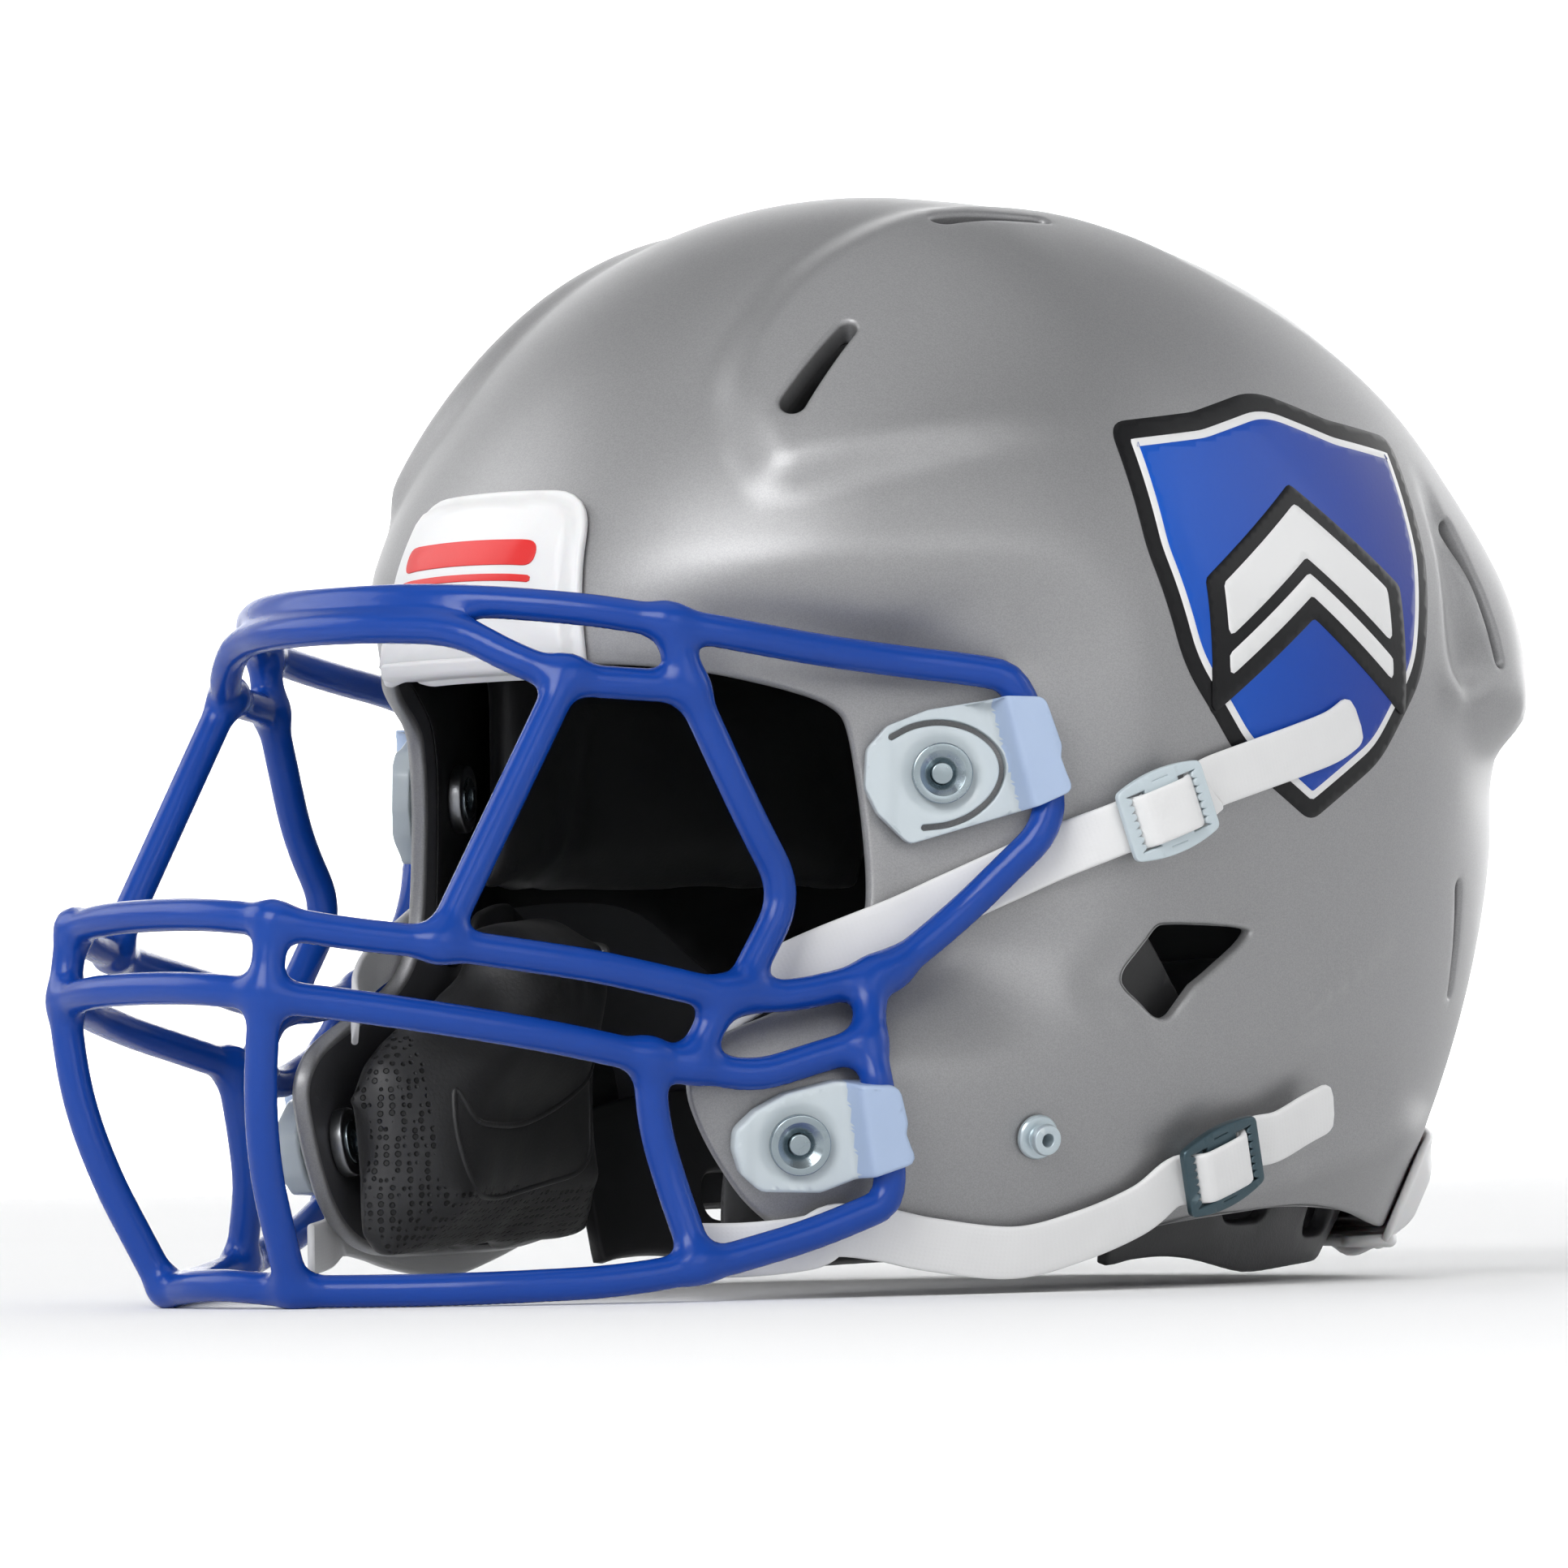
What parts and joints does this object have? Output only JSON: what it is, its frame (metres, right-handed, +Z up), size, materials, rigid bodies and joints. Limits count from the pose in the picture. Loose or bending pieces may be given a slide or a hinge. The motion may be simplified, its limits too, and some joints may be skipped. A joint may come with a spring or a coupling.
{
  "type": "american football helmet",
  "caption": "Hard shell football helmet with a bent wire faceguard, quick release clips, padded liner, bumpers and buckled chin strap ends.",
  "frame": {"origin": "middle of the footprint, on the surface that the helmet stands on", "axes": "+Z up, the face looks along -Y, +X is the wearer's left"},
  "size_m": [0.2482, 0.3797, 0.2521],
  "materials": {
    "shell_paint": "high gloss silver grey paint under a clear coat on polycarbonate",
    "bumper_vinyl": "satin white moulded vinyl",
    "faceguard_coating": "glossy blue dipped coating on steel wire",
    "clip_plastic": "translucent pale blue polycarbonate",
    "release_steel": "turned steel, satin",
    "inner_steel": "zinc plated",
    "stud_zinc": "plated, pale blue cast",
    "high_buckle_plastic": "moulded, pale blue grey",
    "low_buckle_steel": "dark blue grey, satin",
    "webbing": "coated white webbing",
    "frame_plastic": "dark moulded plastic",
    "pad_vinyl": "black vinyl skin over foam"
  },
  "bodies": {
    "helmet": {"shell": "shell_paint", "front_bumper": "bumper_vinyl", "rear_bumper": "bumper_vinyl", "upper_bar": "faceguard_coating", "brow_bar": "faceguard_coating", "nose_bar_upper": "faceguard_coating", "nose_bar_lower": "faceguard_coating", "lower_bar": "faceguard_coating", "eye_bar_l": "faceguard_coating", "eye_bar_r": "faceguard_coating", "side_bar_l": "faceguard_coating", "side_bar_r": "faceguard_coating", "chin_bar_l": "faceguard_coating", "chin_bar_r": "faceguard_coating", "jaw_bar_l": "faceguard_coating", "jaw_bar_r": "faceguard_coating", "short_links": "faceguard_coating", "upper_clip_l": "clip_plastic", "upper_clip_r": "clip_plastic", "lower_clip_l": "clip_plastic", "lower_clip_r": "clip_plastic", "release_housings": "release_steel", "clip_nuts": "inner_steel", "pin_springs": "inner_steel", "snap_studs": "stud_zinc", "spare_stud_l": "stud_zinc", "spare_stud_r": "stud_zinc", "stud_nuts": "inner_steel", "high_strap_l": "webbing", "high_strap_r": "webbing", "low_strap_l": "webbing", "low_strap_r": "webbing", "jaw_pad_l": "pad_vinyl", "jaw_pad_r": "pad_vinyl", "side_pad_l": "pad_vinyl", "side_pad_r": "pad_vinyl", "front_pad": "pad_vinyl", "crown_pads": "pad_vinyl", "back_pad": "pad_vinyl", "neck_pad": "pad_vinyl", "neck_frame": "frame_plastic"},
    "high_buckle_body_l": {"high_buckle_l": "high_buckle_plastic", "high_strap_tail_l": "webbing"},
    "low_buckle_body_l": {"low_buckle_l": "low_buckle_steel", "low_strap_tail_l": "webbing"},
    "release_pin_body_upper_l": {"release_pin_upper_l": "release_steel"},
    "release_pin_body_lower_l": {"release_pin_lower_l": "release_steel"},
    "high_buckle_body_r": {"high_buckle_r": "high_buckle_plastic", "high_strap_tail_r": "webbing"},
    "low_buckle_body_r": {"low_buckle_r": "low_buckle_steel", "low_strap_tail_r": "webbing"},
    "release_pin_body_upper_r": {"release_pin_upper_r": "release_steel"},
    "release_pin_body_lower_r": {"release_pin_lower_r": "release_steel"}
  },
  "joints": [
    {"name": "press_upper_release_l", "type": "slide", "parent": "helmet", "child": "release_pin_body_upper_l", "axis": [0.8216, -0.5698, 0.0187], "range_m": [-0.002, 0], "stiffness_N_per_m": 300, "springref_m": 0.002},
    {"name": "press_lower_release_l", "type": "slide", "parent": "helmet", "child": "release_pin_body_lower_l", "axis": [0.852, -0.5077, -0.1282], "range_m": [-0.002, 0], "stiffness_N_per_m": 300, "springref_m": 0.002},
    {"name": "high_buckle_swivel_l", "type": "hinge", "parent": "helmet", "child": "high_buckle_body_l", "pos_m": [0.11357, 0.00769, 0.10664], "axis": [0.9759, -0.216, -0.0315], "range_deg": [-6, 6]},
    {"name": "low_buckle_swivel_l", "type": "hinge", "parent": "helmet", "child": "low_buckle_body_l", "pos_m": [0.10494, 0.02959, 0.02852], "axis": [0.9785, 0.0125, -0.2058], "range_deg": [-6, 6]},
    {"name": "press_upper_release_r", "type": "slide", "parent": "helmet", "child": "release_pin_body_upper_r", "axis": [-0.8216, -0.5698, 0.0187], "range_m": [-0.002, 0], "stiffness_N_per_m": 300, "springref_m": 0.002},
    {"name": "press_lower_release_r", "type": "slide", "parent": "helmet", "child": "release_pin_body_lower_r", "axis": [-0.852, -0.5077, -0.1282], "range_m": [-0.002, 0], "stiffness_N_per_m": 300, "springref_m": 0.002},
    {"name": "high_buckle_swivel_r", "type": "hinge", "parent": "helmet", "child": "high_buckle_body_r", "pos_m": [-0.11357, 0.00769, 0.10664], "axis": [-0.9759, -0.216, -0.0315], "range_deg": [-6, 6]},
    {"name": "low_buckle_swivel_r", "type": "hinge", "parent": "helmet", "child": "low_buckle_body_r", "pos_m": [-0.10494, 0.02959, 0.02852], "axis": [-0.9785, 0.0125, -0.2058], "range_deg": [-6, 6]}
  ]
}
